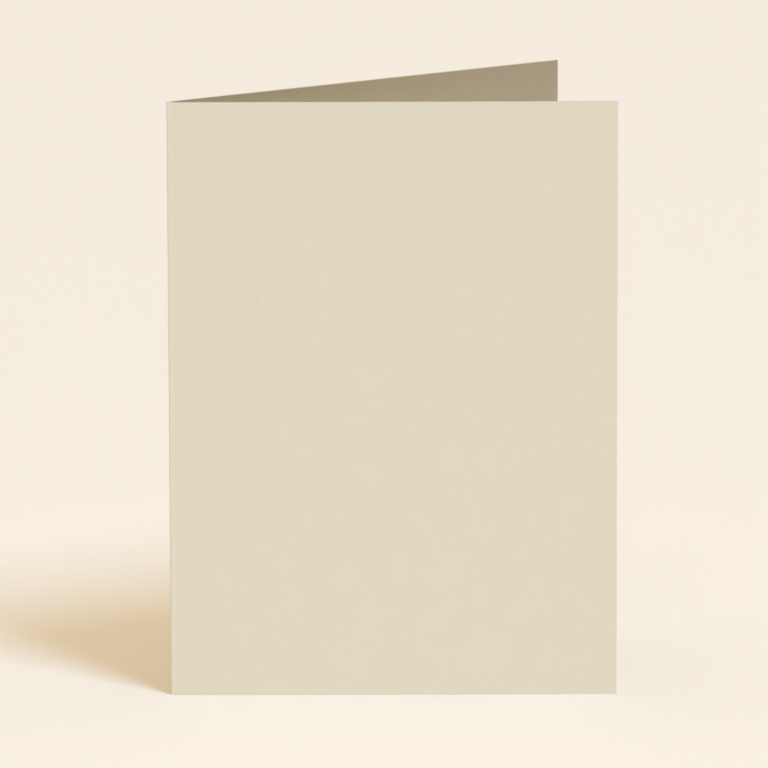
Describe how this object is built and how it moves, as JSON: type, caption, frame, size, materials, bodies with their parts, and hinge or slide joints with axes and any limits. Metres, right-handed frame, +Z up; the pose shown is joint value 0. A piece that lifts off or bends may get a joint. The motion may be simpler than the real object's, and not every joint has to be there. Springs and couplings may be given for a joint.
{
  "type": "greeting card",
  "caption": "Blank ivory greeting card, a scored sheet folded down its left side, standing upright on its lower edge and opened to a narrow V.",
  "frame": {"origin": "centre of the ground that the standing card covers, on the plane it stands on", "axes": "+Z up along the fold; the front panel faces -Y; the fold is on the -X side and the panels open towards +X"},
  "size_m": [0.1312, 0.066, 0.1778],
  "materials": {
    "card_stock": "uncoated, matt, fine toothed ivory card"
  },
  "bodies": {
    "root": {"folded_card": "card_stock"}
  },
  "joints": []
}
